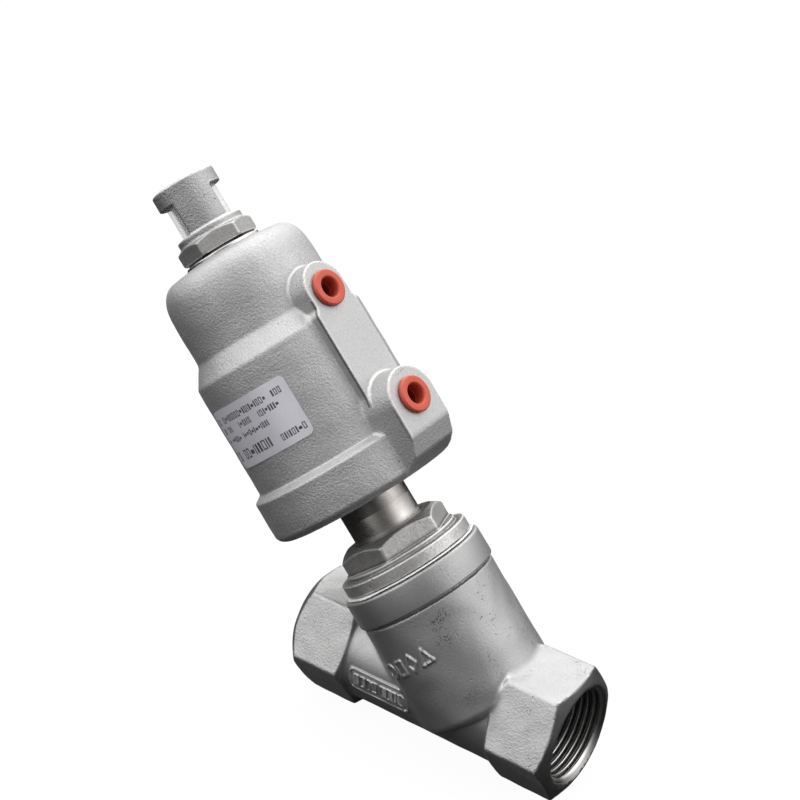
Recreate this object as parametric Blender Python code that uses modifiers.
"""Pneumatic angle seat valve, G1 female ports, double acting air head with a 50 mm piston.

Frame: metres, +Z up. The origin is the bottom centre of the valve's bounding box: the port hexagons
stand on Z = 0, and X = 0 is halfway between the right port face and the end of the indicator cage. The
run axis of the two pipe ports is parallel to X, the right port on the +X side. The stem axis leans 50
degrees up from the run toward -X. Y = 0 is the mirror plane of the body. Every piece on the stem is
drawn in the stem's own frame, with its local Z on the stem axis, its local X toward the two air ports
and its origin where the stem axis crosses the run axis.
"""

import math

import bmesh
import bpy
from mathutils import Matrix, Vector

MM = 0.001
TAU = 2.0 * math.pi

# Driving dimensions, millimetres. In names, S is height along the stem axis, R is radius, P is the
# distance from the stem axis toward the air ports, X is the position along the run from the crossing
# of the two axes, and AF is across flats. A pair in S is (low, high).
STEM_LEAN = 50.0  # degrees between the run axis and the stem axis

# Valve body
RUN_X_RIGHT = 34.6
RUN_X_LEFT = -70.4
HEX_AF = 41.0
RIGHT_HEX = (23.0, 2.5)  # length along the run, and length of the chamfer at the port face
LEFT_HEX = (23.9, 4.9)
HEX_BACK_CHAMFER = 1.4
MOUTH_R = 18.2
PIPE_R = 19.7
PIPE_X = (-58.0, 24.0)
PORT_THREAD_R = 15.15
PORT_THREAD_DEPTH = 17.0
PORT_LEAD_R = 17.3
BORE_R = 13.0
BORE_START = 10.0  # from the port face, inside the port thread
BONNET_R = 24.5
BONNET_FLOOR_S = 0.5
BONNET_FLOOR_ROUND = 2.5
COLLAR_R = 25.4
COLLAR_S = 41.4
BODY_TOP_S = 51.6
CHAMBER_R = 19.0
BODY_THREAD_R = 20.5
SEAT_WEB_TOP_S = 2.0
SEAT_WEB_UNDER_S = -2.0
SEAT_LIP_S = 4.5
ORIFICE_R = 11.7

# Bonnet nut, neck and spindle
FLANGE_R = 23.4
FLANGE_S = (52.8, 57.2)
BONNET_HEX_AF = 35.0
BONNET_HEX_TOP_S = 66.2
BONNET_HEX_CORNER_S = 63.9
NECK_R = 12.2
NECK_CLEAR_R = NECK_R + 0.3
NECK_BORE_R = 8.5
NECK_S = (58.6, 96.0)
NECK_GROOVE_S = (90.3, 92.1)
SPINDLE_R = 5.0
GLAND_INNER_R = SPINDLE_R + 0.3  # the rings between spindle and neck bore
GLAND_OUTER_R = NECK_BORE_R - 0.3
GLAND_MID_R = (GLAND_INNER_R + GLAND_OUTER_R) / 2
SPINDLE_END_R = 4.0  # the two stepped down lengths that carry disc and piston
END_HOLE_R = SPINDLE_END_R + 0.3
NUT_AF = 13.0

# Air head
SKIRT_R = 33.9
SKIRT_S = (80.0, 95.4)
MAIN_R = 30.8
MAIN_TOP_S = 137.6
UPPER_R = 26.4
UPPER_S = (143.7, 157.0)
SHOULDER_R = 18.4  # where the rounded shoulder runs into the shallow cone of the top
SHOULDER_TOP_S = 171.1
DOME_TOP_S = 172.0
CYLINDER_BORE_R = 25.0
CYLINDER_BORE_S = (90.3, 134.0)
COVER_RECESS_R = 28.0
COVER_S = (84.0, 90.0)
COVER_R = 27.7
COVER_GROOVE_S = (86.0, 88.0)
COVER_RING_GROOVE_R = 29.3
COVER_RING_GROOVE_S = (82.0, COVER_S[0])
RING_GAP = 0.3  # between a ring and the walls of its groove

RIB_P = 33.0
RIB_ROOT_P = 18.0
RIB_HALF = 9.6
BOSS_HALF = 8.4
BOSS_S = 145.2
UPPER_PORT_S = 144.0
LUG_P = 41.5
LUG_ROOT_P = 26.0
LUG_HALF = 10.0
LOWER_PORT_S = 101.6
AIR_THREAD_R = 4.9
AIR_PILOT_R = 2.0
AIR_PILOT_END_P = 15.0
PLUG_FLANGE_R = 6.1
PLUG_BODY_R = 4.55
PLUG_HOLE_R = 3.36

PISTON_S = (104.3, 112.0)
PISTON_R = CYLINDER_BORE_R - 0.4
SEAL_GROOVE_R = 21.4
SEAL_GROOVE_S = (105.6, 108.4)
GUIDE_GROOVE_R = 22.8
GUIDE_GROOVE_S = (109.2, 111.3)
SPRING_SEAT_S = 160.4
CLOSING_SPRING_S = (PISTON_S[1] + 0.4, SPRING_SEAT_S - 0.4)

LABEL_R = MAIN_R + 0.32
LABEL_S = (107.5, 128.5)
LABEL_ANGLE = (-117.0, -50.0)
LABEL_THICKNESS = 0.18

# Position indicator cage
CAGE_R = 11.3
CAGE_BORE_R = 9.4
CAGE_HEX_AF = 24.0
CAGE_HEX_S = (173.6, 179.2)
CAGE_BOSS_TOP_S = 181.8
CAGE_HEAD_S = (193.3, 198.8)
CAGE_EDGE = 0.5
CAGE_SPIGOT_R = 10.9
CAGE_POST_ANGLE = -38.0  # degrees from the air port side, turned about the stem
CAGE_POST_HALF = 37.0
SIGHT_TUBE_R = 9.1

# Facets round a turned piece
VERY_FINE = 36
FINE = 32
NUT_CONE = 24
MID = 20
SMALL = 12

# Degrees by which the facets of crossing pieces are turned, so that no two edges of a Boolean meet.
BONNET_TURN = 5.6
CHAMBER_TURN = 3.1
BORE_TURN = 2.3

# The crossing of the two axes, seen from the bottom centre of the bounding box.
LEAN = math.radians(STEM_LEAN)
CAGE_END_X = -(math.cos(LEAN) * (CAGE_HEAD_S[1] - CAGE_EDGE) + math.sin(LEAN) * CAGE_R)
CROSSING = Matrix.Translation((-(CAGE_END_X + RUN_X_RIGHT) / 2 * MM, 0, HEX_AF / 2 * MM))
TURN_TO_X = Matrix.Rotation(math.radians(90.0), 4, "Y")  # local Z on +X
STEM = CROSSING @ Matrix.Rotation(math.radians(STEM_LEAN - 90.0), 4, "Y")
RUN = CROSSING @ TURN_TO_X

for old in list(bpy.data.objects):
    bpy.data.objects.remove(old, do_unlink=True)
for old in list(bpy.data.collections):
    bpy.data.collections.remove(old)

parts = bpy.data.collections.new("pneumatic_actuated_valve")
cutters = bpy.data.collections.new("cutters")
bpy.context.scene.collection.children.link(parts)
bpy.context.scene.collection.children.link(cutters)


# ---------------------------------------------------------------- materials
def material(name, color, metallic, roughness, alpha=1.0):
    made = bpy.data.materials.new(name)
    made.use_nodes = True
    inputs = made.node_tree.nodes["Principled BSDF"].inputs
    inputs["Base Color"].default_value = (*color, 1.0)
    inputs["Metallic"].default_value = metallic
    inputs["Roughness"].default_value = roughness
    inputs["Alpha"].default_value = alpha
    made.diffuse_color = (*color, alpha)
    return made


CAST = material("cast_stainless", color=(0.52, 0.51, 0.49), metallic=1.0, roughness=0.42)
MACHINED = material("machined_stainless", color=(0.60, 0.59, 0.57), metallic=1.0, roughness=0.28)
SPRING = material("spring_steel", color=(0.45, 0.45, 0.46), metallic=1.0, roughness=0.35)
PTFE = material("ptfe_white", color=(0.85, 0.85, 0.82), metallic=0.0, roughness=0.45)
NITRILE = material("nitrile_black", color=(0.02, 0.02, 0.02), metallic=0.0, roughness=0.6)
BRONZE = material("bronze", color=(0.50, 0.34, 0.16), metallic=1.0, roughness=0.35)
RED = material("red_plastic", color=(0.70, 0.12, 0.07), metallic=0.0, roughness=0.4)
LABEL = material("label_film", color=(0.55, 0.55, 0.66), metallic=0.3, roughness=0.35)
CLEAR = material(
    "clear_tube", color=(0.85, 0.88, 0.90), metallic=0.0, roughness=0.08, alpha=0.35
)
TIP = material("indicator_tip", color=(0.75, 0.52, 0.05), metallic=0.0, roughness=0.4)


# ---------------------------------------------------------------- making pieces
def piece(name, mesh, frame=STEM, mat=None):
    """Places a mesh. With a material it is a part of the valve, without one a hidden helper."""
    obj = bpy.data.objects.new(name, mesh)
    obj.matrix_world = frame
    if mat:
        parts.objects.link(obj)
        mesh.materials.append(mat)
    else:
        cutters.objects.link(obj)
        obj.hide_render = True
        obj.display_type = "WIRE"
    return obj


def piece_from(shape, name, frame=STEM, mat=None):
    mesh = bpy.data.meshes.new(name)
    shape.to_mesh(mesh)
    shape.free()
    return piece(name, mesh, frame, mat)


def screw_round(obj, name, angle, steps):
    """Sweeps the object's profile about its local Z."""
    screw = obj.modifiers.new(name, "SCREW")
    screw.axis = "Z"
    screw.angle = angle
    screw.steps = steps
    screw.render_steps = steps
    screw.use_merge_vertices = True
    screw.merge_threshold = 0.00001


def turned(name, profile, mat=None, facets=MID, frame=STEM, start=0.0):
    """A turned shape: profile points (radius, height) in mm run down the outer side. A profile that
    starts and ends on the axis makes a solid, and any other profile is closed into a ring. The
    facets start at start degrees."""
    mesh = bpy.data.meshes.new(name)
    points = [(radius * MM, 0.0, height * MM) for radius, height in profile]
    edges = [(i, i + 1) for i in range(len(points) - 1)]
    if profile[0][0] > 0.0:
        edges.append((len(points) - 1, 0))
    mesh.from_pydata(points, edges, [])
    mesh.transform(Matrix.Rotation(math.radians(start), 4, "Z"))
    obj = piece(name, mesh, frame, mat)
    screw_round(obj, "turn", TAU, facets)
    return obj


def rod(radius, low, high):
    """The profile of a plain cylinder."""
    return [(0, high), (radius, high), (radius, low), (0, low)]


def plain_ring(name, inner, outer, low, high, mat, facets=MID):
    """A ring of rectangular section, between radii inner and outer."""
    return turned(name, [(outer, high), (outer, low), (inner, low), (inner, high)], mat, facets)


def arc(centre_r, centre_s, half_r, half_s, start, end, steps):
    """Points (radius, height) of an elliptical arc, from angle start to end in degrees."""
    points = []
    for i in range(steps + 1):
        angle = math.radians(start + (end - start) * i / steps)
        points.append((centre_r + half_r * math.cos(angle), centre_s + half_s * math.sin(angle)))
    return points


def oring(name, centre_r, centre_s, half_r, half_s, facets=MID):
    """An O-ring with a section of six corners."""
    return turned(name, arc(centre_r, centre_s, half_r, half_s, 90, -240, 5), NITRILE, facets)


def shoulder(centre_r, centre_s, width, rise, power, steps):
    """Points (radius, height) of a squarish quarter round, from its top down to its side."""
    points = []
    for i in range(steps + 1):
        angle = math.radians(90.0 * (1 - i / steps))
        across = max(math.cos(angle), 0.0) ** (2 / power)
        up = math.sin(angle) ** (2 / power)
        points.append((centre_r + width * across, centre_s + rise * up))
    return points


def corner_radius(across_flats):
    return across_flats / math.sqrt(3.0)


def hexagon(name, across_flats, low, high, frame=STEM, turn=0.0, mat=None):
    """A hexagonal prism; turn rotates its corners about its own axis, in degrees."""
    shape = bmesh.new()
    corner = corner_radius(across_flats) * MM
    bmesh.ops.create_cone(
        shape, cap_ends=True, segments=6, radius1=corner, radius2=corner, depth=(high - low) * MM
    )
    shape.transform(Matrix.Rotation(math.radians(turn), 4, "Z"))
    shape.transform(Matrix.Translation((0, 0, (low + high) / 2 * MM)))
    return piece_from(shape, name, frame, mat)


def extruded(name, outline, moved):
    """A helper drawn out from a face: outline is the face's points (x, y, z) in mm, and moved gives
    the place of each vertex on the opposite face, in metres."""
    shape = bmesh.new()
    face = shape.faces.new([shape.verts.new((x * MM, y * MM, z * MM)) for x, y, z in outline])
    made = bmesh.ops.extrude_face_region(shape, geom=[face])
    for item in made["geom"]:
        if isinstance(item, bmesh.types.BMVert):
            item.co = moved(item.co)
    bmesh.ops.recalc_face_normals(shape, faces=shape.faces)
    return piece_from(shape, name)


def combine(obj, operation, other):
    boolean = obj.modifiers.new(f"{operation.lower()}_{other.name}", "BOOLEAN")
    boolean.operation = operation
    boolean.solver = "EXACT"
    boolean.object = other
    return obj


def soften(obj, angle, width=0.6):
    """Bevels the edges sharper than angle degrees."""
    bevel = obj.modifiers.new("edges", "BEVEL")
    bevel.width = width * MM
    bevel.segments = 1
    bevel.limit_method = "ANGLE"
    bevel.angle_limit = math.radians(angle)
    return obj


def baked(obj, sharp=32.0):
    """Keeps the evaluated shape as the object's mesh, shaded smooth with its real edges sharp."""
    bpy.context.view_layer.update()
    graph = bpy.context.evaluated_depsgraph_get()
    mesh = bpy.data.meshes.new_from_object(obj.evaluated_get(graph))
    mesh.name = obj.name
    obj.modifiers.clear()
    obj.data = mesh
    mesh.shade_smooth()
    mesh.set_sharp_from_angle(angle=math.radians(sharp))
    return obj


def chamfered_hexagon(
    name, across_flats, low, high, turn, inset, length, overshoot, facets, mat=None
):
    """A hexagon whose corners are chamfered at both ends, by inset in radius and length in height.
    The chamfering cone stands past the end faces by overshoot."""
    hexa = hexagon(name, across_flats, low, high, STEM, turn, mat)
    corner = corner_radius(across_flats)
    profile = [
        (0, high + overshoot),
        (corner - inset, high + overshoot),
        (corner + 0.05, high - length),
        (corner + 0.05, low + length),
        (corner - inset, low - overshoot),
        (0, low - overshoot),
    ]
    return combine(hexa, "INTERSECT", turned(name + "_cone", profile, facets=facets))


def nut(name, low, high):
    """A hexagon nut on a stepped down length of the spindle."""
    obj = chamfered_hexagon(
        name, NUT_AF, low, high, turn=0.0, inset=0.9, length=0.6, overshoot=0.02,
        facets=NUT_CONE, mat=MACHINED,
    )
    hole = turned(name + "_hole", rod(END_HOLE_R, low - 2, high + 2), facets=SMALL)
    return baked(combine(obj, "DIFFERENCE", hole))


def coil(name, mean_r, wire_r, low, high, turns, per_turn):
    """A helical compression spring between two heights, with a flatter last turn at each end."""
    curve = bpy.data.curves.new(name, "CURVE")
    curve.dimensions = "3D"
    curve.bevel_depth = wire_r * MM
    curve.bevel_resolution = 1
    curve.use_fill_caps = True
    count = round(turns * per_turn) + 1
    spline = curve.splines.new("POLY")
    spline.points.add(count - 1)
    flat = (2 * wire_r + 0.4) * MM  # rise of an end turn
    bottom = (low + wire_r) * MM
    top = (high - wire_r) * MM
    for i in range(count):
        turn = turns * i / (count - 1)
        if turn < 1.0:
            z = bottom + flat * turn
        elif turn > turns - 1.0:
            z = top - flat * (turns - turn)
        else:
            z = bottom + flat + (top - bottom - 2 * flat) * (turn - 1.0) / (turns - 2.0)
        x = mean_r * MM * math.cos(TAU * turn)
        y = mean_r * MM * math.sin(TAU * turn)
        spline.points[i].co = (x, y, z, 1.0)
    obj = bpy.data.objects.new(name, curve)
    obj.matrix_world = STEM
    parts.objects.link(obj)
    curve.materials.append(SPRING)


# ---------------------------------------------------------------- valve body
# For the run's profiles, side is 1 at the right port and -1 at the left. They are listed from the
# port face inward, and [::side] makes them run toward -X at either port.
def sheared_bore(name, far_x, plane_s):
    """A run bore whose inner end lies on the plane at height plane_s, square to the stem."""
    shape = bmesh.new()
    bmesh.ops.create_cone(
        shape, cap_ends=True, segments=MID, radius1=BORE_R * MM, radius2=BORE_R * MM, depth=0.02
    )
    shape.transform(TURN_TO_X @ Matrix.Rotation(math.radians(BORE_TURN), 4, "Z"))
    for vert in shape.verts:
        if vert.co.x * far_x < 0:
            vert.co.x = (math.sin(LEAN) * vert.co.z - plane_s * MM) / math.cos(LEAN)
        else:
            vert.co.x = far_x * MM
    bmesh.ops.recalc_face_normals(shape, faces=shape.faces)
    return piece_from(shape, name, CROSSING)


def port_hexagon(label, side, face_x, length, chamfer):
    inner_x = face_x - side * length
    ends = sorted((inner_x, face_x))
    hexa = hexagon(f"run_hex_{label}", HEX_AF, *ends, frame=RUN)
    corner = corner_radius(HEX_AF) + 0.05
    over = side * 0.02  # the cone stands past both ends of the hexagon
    profile = [
        (0.0, face_x + over),
        (MOUTH_R + 0.02, face_x + over),
        (corner, face_x - side * chamfer),
        (corner, inner_x + side * HEX_BACK_CHAMFER),
        (HEX_AF / 2 + 0.12, inner_x - over),
        (0.0, inner_x - over),
    ]
    cone = turned(hexa.name + "_cone", profile[::side], facets=VERY_FINE, frame=RUN)
    return baked(combine(hexa, "INTERSECT", cone))


def port_thread(label, side, face_x):
    """The threaded bore of a port with its 45 degree lead-in, drawn 0.5 mm past the face."""
    bottom_x = face_x - side * PORT_THREAD_DEPTH
    profile = [
        (0, face_x + side * 0.5),
        (PORT_LEAD_R + 0.5, face_x + side * 0.5),
        (PORT_THREAD_R, face_x - side * (PORT_LEAD_R - PORT_THREAD_R)),
        (PORT_THREAD_R, bottom_x),
        (0, bottom_x),
    ]
    return turned(f"port_thread_{label}", profile[::side], facets=VERY_FINE, frame=RUN)


def bonnet_outside():
    """The outside of the leaning cylinder that takes the bonnet nut."""
    size = BONNET_FLOOR_ROUND
    profile = [
        (0, BODY_TOP_S),
        (COLLAR_R - 0.6, BODY_TOP_S),
        (COLLAR_R, BODY_TOP_S - 0.6),
        (COLLAR_R, COLLAR_S + 0.3),
        (BONNET_R - 0.5, COLLAR_S),
        (BONNET_R - 0.5, COLLAR_S - 0.7),
        (BONNET_R, COLLAR_S - 1.0),
        *arc(BONNET_R - size, BONNET_FLOOR_S + size, size, size, 0, -90, 3),
        (0, BONNET_FLOOR_S),
    ]
    return turned("bonnet_outside", profile, facets=FINE, start=BONNET_TURN)


def chamber():
    """The hollow of the bonnet cylinder, down round the seat lip and through the orifice."""
    profile = [
        (0, 54.0),
        (BODY_THREAD_R, 54.0),
        (BODY_THREAD_R, 37.5),
        (CHAMBER_R, 36.0),
        (CHAMBER_R, SEAT_WEB_TOP_S),
        (14.0, SEAT_WEB_TOP_S),
        (13.7, SEAT_LIP_S),
        (12.2, SEAT_LIP_S),
        (ORIFICE_R, SEAT_LIP_S - 0.5),
        (ORIFICE_R, -4.0),
        (0, -4.0),
    ]
    return turned("chamber", profile, start=CHAMBER_TURN)


def build_body():
    body = turned("body_casting", rod(PIPE_R, *PIPE_X), CAST, VERY_FINE, RUN)
    for added in (
        bonnet_outside(),
        port_hexagon("right", 1, RUN_X_RIGHT, *RIGHT_HEX),
        port_hexagon("left", -1, RUN_X_LEFT, *LEFT_HEX),
    ):
        combine(body, "UNION", added)
    for removed in (
        chamber(),
        sheared_bore("left_bore", RUN_X_LEFT + BORE_START, SEAT_LIP_S + 0.3),
        sheared_bore("right_bore", RUN_X_RIGHT - BORE_START, SEAT_WEB_UNDER_S),
        port_thread("right", 1, RUN_X_RIGHT),
        port_thread("left", -1, RUN_X_LEFT),
    ):
        combine(body, "DIFFERENCE", removed)
    baked(body)


build_body()
plain_ring("body_gasket", 20.8, 23.0, 51.9, 52.5, PTFE)


# ---------------------------------------------------------------- bonnet and neck
def bonnet_hexagon():
    """The nut's hexagon, chamfered at the top and bored for the neck."""
    hexa = hexagon("bonnet_hex", BONNET_HEX_AF, 55.0, BONNET_HEX_TOP_S, turn=30.0)
    corner = corner_radius(BONNET_HEX_AF) + 0.1
    profile = [
        (0, BONNET_HEX_TOP_S + 0.05),
        (16.4, BONNET_HEX_TOP_S + 0.05),
        (corner, BONNET_HEX_CORNER_S),
        (corner, 54.0),
        (0, 54.0),
    ]
    combine(hexa, "INTERSECT", turned("bonnet_hex_cone", profile, facets=VERY_FINE))
    baked(hexa)
    bore = turned("bonnet_hex_bore", rod(NECK_R + 0.31, 50, 70), facets=FINE)
    return baked(combine(hexa, "DIFFERENCE", bore))


def build_bonnet():
    low, high = FLANGE_S
    profile = [
        (20.0, high + 0.4),
        (FLANGE_R - 0.5, high),
        (FLANGE_R, high - 0.5),
        (FLANGE_R, low),
        (20.5, low),
        (20.2, low - 0.3),
        (20.2, 39.2), (19.0, 38.0), (5.6, 38.0), (5.6, 41.0),
        (NECK_BORE_R, 41.0),
        (NECK_BORE_R, 58.3),
        (NECK_CLEAR_R, 58.3),
        (NECK_CLEAR_R, high + 3.0),
        (16.0, high + 3.0),
    ]
    bonnet = turned("bonnet_nut", profile, MACHINED, FINE)
    baked(combine(bonnet, "UNION", bonnet_hexagon()))


build_bonnet()
turned(
    "neck_tube",
    [
        (NECK_R - 0.6, NECK_S[1]),
        (NECK_R, NECK_S[1] - 0.6),
        (NECK_R, NECK_GROOVE_S[1]),
        (11.1, NECK_GROOVE_S[1]),
        (11.1, NECK_GROOVE_S[0]),
        (NECK_R, NECK_GROOVE_S[0]),
        (NECK_R, 83.4), (14.2, 83.4), (14.2, 81.6), (NECK_R, 81.0),
        (NECK_R, NECK_S[0]),
        (NECK_BORE_R, NECK_S[0]),
        (NECK_BORE_R, NECK_S[1]),
    ],
    MACHINED,
    FINE,
)
plain_ring("lower_guide_bush", GLAND_INNER_R, GLAND_OUTER_R, 41.3, 47.3, BRONZE, SMALL)
turned(
    "packing_base_ring",
    [
        (GLAND_OUTER_R, 48.4), (GLAND_OUTER_R, 47.6),
        (GLAND_INNER_R, 47.6), (GLAND_INNER_R, 48.4), (GLAND_MID_R, 50.2),
    ],
    MACHINED,
    SMALL,
)


def packing_ring(number, low):
    """A chevron ring, its point up."""
    inner = GLAND_INNER_R - 0.1
    outer = GLAND_OUTER_R + 0.1
    profile = [
        (outer, low + 2.0), (outer, low), (GLAND_MID_R, low + 1.8),
        (inner, low), (inner, low + 2.0), (GLAND_MID_R, low + 3.8),
    ]
    turned(f"packing_ring_{number}", profile, PTFE, SMALL)


PACKING_LOW_S = 48.75
PACKING_PITCH = 2.3
for i in range(3):
    packing_ring(i + 1, PACKING_LOW_S + PACKING_PITCH * i)
turned(
    "packing_top_ring",
    [
        (GLAND_OUTER_R, 59.5), (GLAND_OUTER_R, 55.65), (GLAND_MID_R, 57.45),
        (GLAND_INNER_R, 55.65), (GLAND_INNER_R, 59.5),
    ],
    MACHINED,
    SMALL,
)
coil("packing_spring", mean_r=6.8, wire_r=0.75, low=59.9, high=74.5, turns=5, per_turn=8)
turned(
    "spindle_wiper",
    [(GLAND_OUTER_R, 78.2), (GLAND_OUTER_R, 74.9), (5.25, 74.9), (5.25, 77.2), (6.0, 78.2)],
    NITRILE,
    SMALL,
)
plain_ring("upper_guide_bush", GLAND_INNER_R, GLAND_OUTER_R, 78.6, 95.2, BRONZE, SMALL)
plain_ring(
    "neck_retaining_ring", 11.45, 15.0,
    NECK_GROOVE_S[0] + RING_GAP, NECK_GROOVE_S[1] - RING_GAP, SPRING,
)


# ---------------------------------------------------------------- air head
def pad(name, outline, root_p, face_p, spread):
    """A cast pad: outline points (y, s) in mm at the outer face, drawn back to root_p with the sides
    spreading by spread."""
    centre_y = sum(y for y, _ in outline) / len(outline)
    centre_s = sum(height for _, height in outline) / len(outline)
    half = max(abs(y - centre_y) for y, _ in outline)
    scale = (half + spread) / half

    def at_root(point):
        y = (centre_y + (point.y / MM - centre_y) * scale) * MM
        z = (centre_s + (point.z / MM - centre_s) * scale) * MM
        return root_p * MM, y, z

    return extruded(name, [(face_p, y, height) for y, height in outline], at_root)


def arch(centre_s, half):
    """Points (y, s) of a half circle, from -Y over the top to +Y."""
    return [(-y, height) for y, height in arc(0, centre_s, half, half, 0, 180, 8)]


def port_rib():
    """The rib up the side of the head that ends in the boss of the upper air port."""
    outline = [
        (-RIB_HALF, 96.0), (-RIB_HALF, 138.6), (-BOSS_HALF, 139.8),
        *arch(BOSS_S, BOSS_HALF),
        (BOSS_HALF, 139.8), (RIB_HALF, 138.6), (RIB_HALF, 96.0),
    ]
    return baked(soften(pad("port_rib", outline, RIB_ROOT_P, RIB_P, spread=1.0), angle=60.0))


def port_lug():
    """The lug of the lower air port, its underside cut back toward the skirt."""
    outline = [(-LUG_HALF, 81.2), *arch(LOWER_PORT_S, LUG_HALF), (LUG_HALF, 81.2)]
    lug = pad("port_lug", outline, LUG_ROOT_P, LUG_P, spread=1.2)
    # Cutter outline (p, s), pulled across the lug in Y
    underside = [(41.6, 91.2), (50, 95), (50, 70), (32, 70), (32, 80.6), (38.4, 84.2)]
    half = 20.0
    cutter = extruded(
        "lug_underside",
        [(across, -half, height) for across, height in underside],
        lambda point: point + Vector((0, 2 * half * MM, 0)),
    )
    return soften(baked(combine(lug, "DIFFERENCE", cutter)), angle=40.0)


def cylinder_inside():
    spigot_hole_r = CAGE_SPIGOT_R + 0.3
    profile = [
        (0, 175.0), (spigot_hole_r, 175.0), (spigot_hole_r, 166.3),
        *shoulder(12.3, 154.0, width=9.4, rise=12.3, power=2.5, steps=5),
        (21.7, 139.0),
        (CYLINDER_BORE_R, CYLINDER_BORE_S[1]),
        (CYLINDER_BORE_R, CYLINDER_BORE_S[0]),
        (COVER_RECESS_R, CYLINDER_BORE_S[0]),
        (COVER_RECESS_R, COVER_RING_GROOVE_S[1]),
        (COVER_RING_GROOVE_R, COVER_RING_GROOVE_S[1]),
        (COVER_RING_GROOVE_R, COVER_RING_GROOVE_S[0]),
        (COVER_RECESS_R, COVER_RING_GROOVE_S[0]),
        (COVER_RECESS_R + 0.6, 79.0),
        (0, 79.0),
    ]
    return turned("cylinder_inside", profile, facets=FINE)


# Profiles of the air ports: radius, and distance outward from the port face
AIR_HOLE = [
    (0, 1.0), (AIR_THREAD_R + 0.4, 1.0), (AIR_THREAD_R + 0.4, -0.4), (AIR_THREAD_R, -0.8),
    (AIR_THREAD_R, -8.6), (AIR_PILOT_R, -8.6),
]
PORT_PLUG = [
    (PLUG_FLANGE_R - 0.3, 1.7), (PLUG_FLANGE_R, 1.4), (PLUG_FLANGE_R, 0.3), (PLUG_BODY_R, 0.3),
    (PLUG_BODY_R, -7.4), (PLUG_BODY_R - 0.5, -8.1), (0, -8.1), (0, -6.9),
    (PLUG_HOLE_R - 0.25, -6.9), (PLUG_HOLE_R, 1.2), (PLUG_HOLE_R + 0.5, 1.7),
]


def air_port(housing, level, face_p, height):
    """Cuts an air port into the housing and puts its plug in."""
    frame = STEM @ Matrix.Translation((0, 0, height * MM)) @ TURN_TO_X
    hole = [(radius, face_p + out) for radius, out in AIR_HOLE]
    hole += [(AIR_PILOT_R, AIR_PILOT_END_P), (0, AIR_PILOT_END_P)]
    cutter = turned(f"{level}_air_hole", hole, facets=SMALL, frame=frame)
    combine(housing, "DIFFERENCE", cutter)
    plug = [(radius, face_p + out) for radius, out in PORT_PLUG]
    turned(f"{level}_port_plug", plug, RED, SMALL, frame)


def build_housing():
    low, high = UPPER_S
    width = UPPER_R - SHOULDER_R
    profile = [
        (0, DOME_TOP_S),
        (13.8, DOME_TOP_S),
        *shoulder(SHOULDER_R, high, width, SHOULDER_TOP_S - high, power=2.6, steps=6),
        (UPPER_R, low),
        (MAIN_R - 0.3, MAIN_TOP_S),
        (MAIN_R, MAIN_TOP_S - 0.8),
        (MAIN_R, SKIRT_S[1] + 1.9),
        (SKIRT_R, SKIRT_S[1]),
        (SKIRT_R, SKIRT_S[0] + 2.5),
        (SKIRT_R - 0.8, SKIRT_S[0] + 0.9),
        (SKIRT_R - 2.4, SKIRT_S[0]),
        (0, SKIRT_S[0]),
    ]
    housing = turned("actuator_housing", profile, CAST)
    combine(housing, "UNION", port_rib())
    combine(housing, "UNION", port_lug())
    combine(housing, "DIFFERENCE", cylinder_inside())
    air_port(housing, "upper", RIB_P, UPPER_PORT_S)
    air_port(housing, "lower", LUG_P, LOWER_PORT_S)
    baked(housing)


build_housing()
turned(
    "bottom_cover",
    [
        (27.0, COVER_S[1]),
        (COVER_R, 89.3),
        (COVER_R, COVER_GROOVE_S[1]),
        (25.9, COVER_GROOVE_S[1]),
        (25.9, COVER_GROOVE_S[0]),
        (COVER_R, COVER_GROOVE_S[0]),
        (COVER_R, COVER_S[0]),
        (14.8, COVER_S[0]),
        (NECK_CLEAR_R, COVER_S[0]),
        (NECK_CLEAR_R, COVER_GROOVE_S[0]),
        (14.2, COVER_GROOVE_S[0]),
        (14.2, COVER_GROOVE_S[1]),
        (NECK_CLEAR_R, COVER_GROOVE_S[1]),
        (NECK_CLEAR_R, COVER_S[1]),
    ],
    MACHINED,
)
COVER_ORING_S = sum(COVER_GROOVE_S) / 2
oring("cover_oring", 26.95, COVER_ORING_S, 0.8, 0.8)
oring("neck_oring", 13.2, COVER_ORING_S, 0.75, 0.75)
plain_ring(
    "cover_retaining_ring", 26.3, COVER_RING_GROOVE_R - RING_GAP,
    COVER_RING_GROOVE_S[0] + RING_GAP, COVER_RING_GROOVE_S[1] - RING_GAP, SPRING,
)


# ---------------------------------------------------------------- position indicator cage
def cage_window(number):
    """The wedge between the two posts: its sides are radial planes, set in from the axis."""
    middle = math.radians(CAGE_POST_ANGLE + 90.0 + 180.0 * number)
    half = math.radians(90.0 - CAGE_POST_HALF)
    corners = [  # radius, angle about the stem
        (8.4, middle - half),
        (20.0, middle - half),
        (26.0, middle),
        (20.0, middle + half),
        (8.4, middle + half),
    ]
    rise = Vector((0, 0, (CAGE_HEAD_S[0] - CAGE_BOSS_TOP_S) * MM))
    return extruded(
        f"window_{number}",
        [
            (radius * math.cos(angle), radius * math.sin(angle), CAGE_BOSS_TOP_S)
            for radius, angle in corners
        ],
        lambda point: point + rise,
    )


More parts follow.
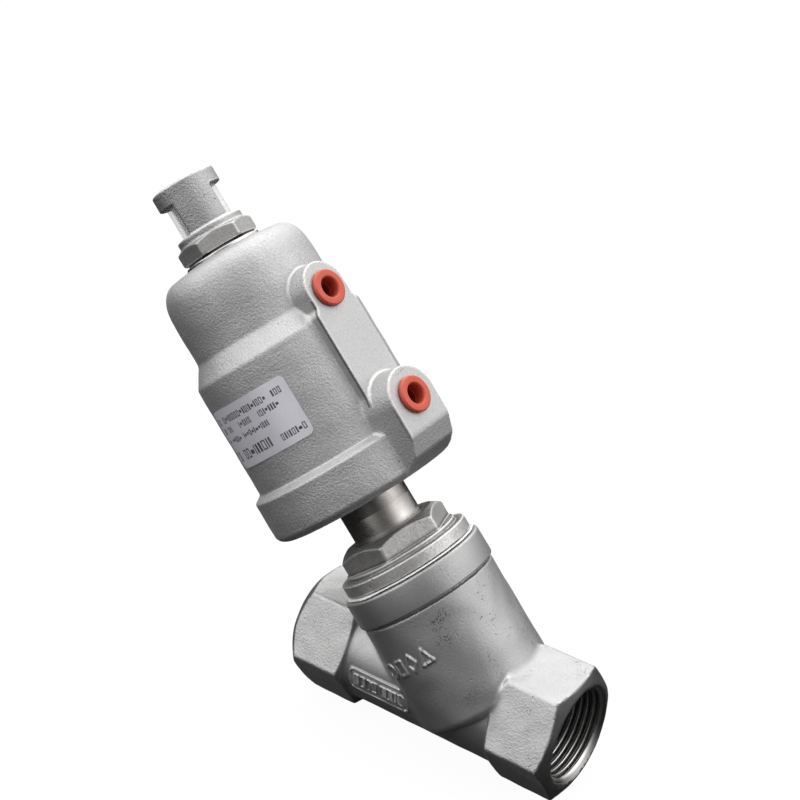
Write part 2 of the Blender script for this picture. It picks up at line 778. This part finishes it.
def build_cage():
    profile = [
        (0, CAGE_HEAD_S[1]),
        (CAGE_R - CAGE_EDGE, CAGE_HEAD_S[1]),
        (CAGE_R, CAGE_HEAD_S[1] - CAGE_EDGE),
        (CAGE_R, 178.0),
        (CAGE_SPIGOT_R, 177.0),
        (CAGE_SPIGOT_R, 163.0),
        (0, 163.0),
    ]
    cage = turned("indicator_cage", profile, CAST, VERY_FINE)
    hexa = chamfered_hexagon(
        "cage_hex", CAGE_HEX_AF, *CAGE_HEX_S, turn=CAGE_POST_ANGLE + 60.0,
        inset=1.3, length=0.8, overshoot=0.05, facets=VERY_FINE,
    )
    combine(cage, "UNION", baked(hexa))
    bore = turned("cage_bore", rod(CAGE_BORE_R, 160.0, 193.9), facets=VERY_FINE)
    combine(cage, "DIFFERENCE", bore)
    for number in (0, 1):
        combine(cage, "DIFFERENCE", cage_window(number))
    baked(cage)


build_cage()
oring("cage_oring", 12.0, 172.8, 0.5, 0.5)
plain_ring("sight_tube", 7.7, SIGHT_TUBE_R, 166.0, 193.5, CLEAR)
turned(
    "tube_retainer",
    [(SIGHT_TUBE_R, 165.6), (SIGHT_TUBE_R, 163.3), (4.6, 163.3), (4.6, 164.4), (6.6, 165.6)],
    MACHINED,
)

# ---------------------------------------------------------------- closing springs
turned(
    "spring_seat",
    [
        (18.3, 163.4), (18.3, SPRING_SEAT_S), (8.6, SPRING_SEAT_S),
        (8.6, 162.0), (15.6, 162.0), (15.6, 163.4),
    ],
    MACHINED,
)
coil("closing_spring_outer", 16.6, 1.5, *CLOSING_SPRING_S, turns=6, per_turn=10)
coil("closing_spring_inner", 11.4, 1.05, *CLOSING_SPRING_S, turns=7, per_turn=8)


# ---------------------------------------------------------------- identification label
def build_label():
    """A film wrapped part of the way round the head."""
    start, end = LABEL_ANGLE
    mesh = bpy.data.meshes.new("data_label")
    edge = [(LABEL_R * MM, 0, LABEL_S[1] * MM), (LABEL_R * MM, 0, LABEL_S[0] * MM)]
    mesh.from_pydata(edge, [(0, 1)], [])
    mesh.transform(Matrix.Rotation(math.radians(start), 4, "Z"))
    label = piece("data_label", mesh, STEM, LABEL)
    screw_round(label, "wrap", math.radians(end - start), 14)
    film = label.modifiers.new("film", "SOLIDIFY")
    film.thickness = LABEL_THICKNESS * MM
    film.offset = 1.0


build_label()

# ---------------------------------------------------------------- spindle and disc
turned(
    "spindle",
    [
        (0, 176.5), (2.0, 176.5), (2.4, 176.1), (2.4, 122.6),
        (SPINDLE_END_R, 121.8), (SPINDLE_END_R, 104.0),
        (SPINDLE_R, 104.0), (SPINDLE_R, 13.4),
        (SPINDLE_END_R, 13.4), (SPINDLE_END_R, -4.6),
        (3.4, -5.2), (0, -5.2),
    ],
    MACHINED,
    SMALL,
)
turned(
    "disc_carrier",
    [
        (9.0, 13.0), (14.6, 10.6), (14.9, 10.2), (14.9, 6.9),
        (END_HOLE_R, 6.9), (END_HOLE_R, 13.0),
    ],
    MACHINED,
)
plain_ring("seat_seal", 4.6, 14.8, 4.8, 6.6, PTFE)
turned(
    "disc_washer",
    [(11.2, 4.5), (11.2, 3.6), (10.4, 2.8), (END_HOLE_R, 2.8), (END_HOLE_R, 4.5)],
    MACHINED,
)
nut("disc_nut", -4.0, 2.5)

# ---------------------------------------------------------------- piston and indicator tip
turned(
    "piston",
    [
        (PISTON_R - 0.3, PISTON_S[1]),
        (PISTON_R, PISTON_S[1] - 0.3),
        (PISTON_R, GUIDE_GROOVE_S[1]),
        (GUIDE_GROOVE_R, GUIDE_GROOVE_S[1]),
        (GUIDE_GROOVE_R, GUIDE_GROOVE_S[0]),
        (PISTON_R, GUIDE_GROOVE_S[0]),
        (PISTON_R, SEAL_GROOVE_S[1]),
        (SEAL_GROOVE_R, SEAL_GROOVE_S[1]),
        (SEAL_GROOVE_R, SEAL_GROOVE_S[0]),
        (PISTON_R, SEAL_GROOVE_S[0]),
        (PISTON_R, PISTON_S[0] + 0.3),
        (PISTON_R - 0.3, PISTON_S[0]),
        (END_HOLE_R, PISTON_S[0]),
        (END_HOLE_R, 106.0), (5.4, 106.0), (5.4, 108.0), (END_HOLE_R, 108.0),
        (END_HOLE_R, 110.6), (9.2, 110.6),
        (9.2, PISTON_S[1]),
    ],
    MACHINED,
)
turned(
    "piston_seal",
    [
        (24.8, SEAL_GROOVE_S[1] - RING_GAP),
        (24.3, sum(SEAL_GROOVE_S) / 2),
        (24.8, SEAL_GROOVE_S[0] + RING_GAP),
        (SEAL_GROOVE_R + RING_GAP, SEAL_GROOVE_S[0] + RING_GAP),
        (SEAL_GROOVE_R + RING_GAP, SEAL_GROOVE_S[1] - RING_GAP),
    ],
    NITRILE,
)
plain_ring(
    "piston_guide_ring", GUIDE_GROOVE_R + RING_GAP, 24.85,
    GUIDE_GROOVE_S[0] + RING_GAP, GUIDE_GROOVE_S[1] - RING_GAP, PTFE,
)
oring("piston_oring", 4.72, 107.0, 0.5, 0.6, SMALL)
plain_ring("piston_washer", END_HOLE_R, 8.6, 110.9, 112.4, MACHINED, SMALL)
nut("piston_nut", 112.8, 119.2)
turned(
    "indicator_tip",
    [
        (0, 181.5), (4.2, 181.5), (5.2, 180.5), (5.2, 169.6),
        (2.7, 169.6), (2.7, 176.9), (0, 176.9),
    ],
    TIP,
    SMALL,
)

for obj in list(parts.objects):
    if obj.type == "MESH" and "turn" in obj.modifiers:
        baked(obj)
